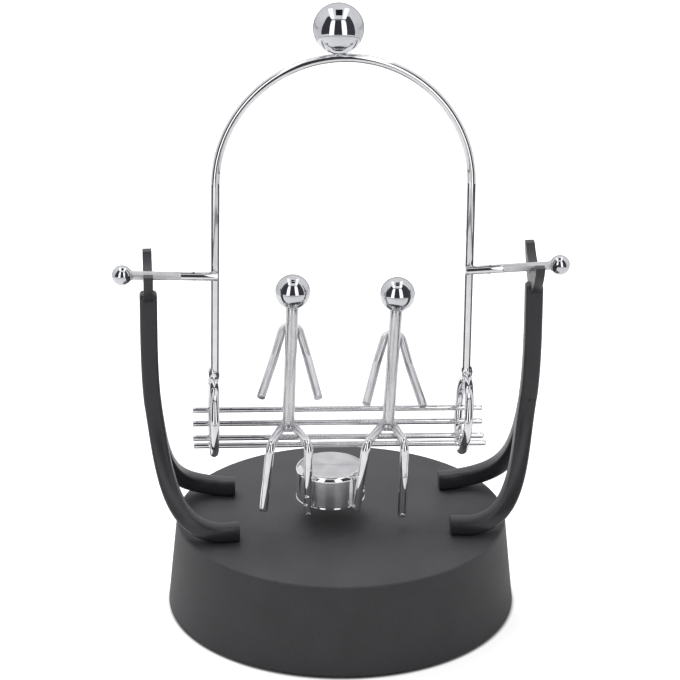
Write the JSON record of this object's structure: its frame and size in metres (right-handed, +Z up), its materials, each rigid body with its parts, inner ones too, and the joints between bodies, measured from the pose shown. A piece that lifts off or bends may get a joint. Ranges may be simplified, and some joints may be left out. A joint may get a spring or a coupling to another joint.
{
  "type": "kinetic desk toy",
  "caption": "Desk toy: a chromed wire swing with seated wire figures and a magnet rocks on pins in forked brackets over a round black base with a coil.",
  "frame": {"origin": "centre of the base's footprint, on the plane that the rubber feet rest on", "axes": "+X along the swing's pins, to the right of a viewer who faces the figures; +Y to the back; +Z up"},
  "size_m": [0.154, 0.12, 0.2116],
  "materials": {
    "base_black": "satin",
    "plate_black": "matte",
    "bracket_black": "satin",
    "foot_rubber": "matte",
    "screw_steel": "satin",
    "wire_chrome": "polished",
    "magnet_chrome": "satin",
    "torso_satin": "satin",
    "ball_polished": "polished",
    "bobbin_nylon": "matte",
    "copper_wire": "gloss",
    "core_iron": "satin",
    "board_green": "satin",
    "chip_black": "matte",
    "can_aluminium": "gloss",
    "resistor_ceramic": "gloss",
    "lead_red": "gloss",
    "lead_black": "gloss",
    "contact_nickel": "satin",
    "cell_sleeve": "gloss"
  },
  "bodies": {
    "base": {"base_shell": "base_black", "bottom_plate": "plate_black", "rubber_feet": "foot_rubber", "plate_screws": "screw_steel", "left_bracket": "bracket_black", "right_bracket": "bracket_black", "bracket_screws": "screw_steel", "coil_bobbin": "bobbin_nylon", "coil_winding": "copper_wire", "coil_core": "core_iron", "circuit_board": "board_green", "transistor": "chip_black", "capacitor": "can_aluminium", "resistors": "resistor_ceramic", "red_lead": "lead_red", "black_lead": "lead_black", "coil_leads": "copper_wire", "contact_plates": "contact_nickel", "contact_leaves": "contact_nickel", "aa_cells": "cell_sleeve"},
    "swing": {"arch_wire": "wire_chrome", "left_pin": "wire_chrome", "right_pin": "wire_chrome", "left_pin_ball": "wire_chrome", "right_pin_ball": "wire_chrome", "crown_ball": "ball_polished", "left_ring": "wire_chrome", "right_ring": "wire_chrome", "back_rods": "wire_chrome", "seat_rods": "wire_chrome", "magnet": "magnet_chrome", "left_legs": "wire_chrome", "left_torso": "torso_satin", "left_arms": "wire_chrome", "left_head": "ball_polished", "right_legs": "wire_chrome", "right_torso": "torso_satin", "right_arms": "wire_chrome", "right_head": "ball_polished"},
    "battery_cover": {"battery_cover": "plate_black", "cover_screw": "screw_steel"}
  },
  "joints": [
    {"name": "swing_rock", "type": "hinge", "parent": "base", "child": "swing", "pos_m": [0, 0, 0.122], "axis": [1, 0, 0], "range_deg": [-19.5, 30.5]},
    {"name": "cover_pull", "type": "slide", "parent": "base", "child": "battery_cover", "axis": [0, 0, -1], "range_m": [0, 0.03]}
  ]
}
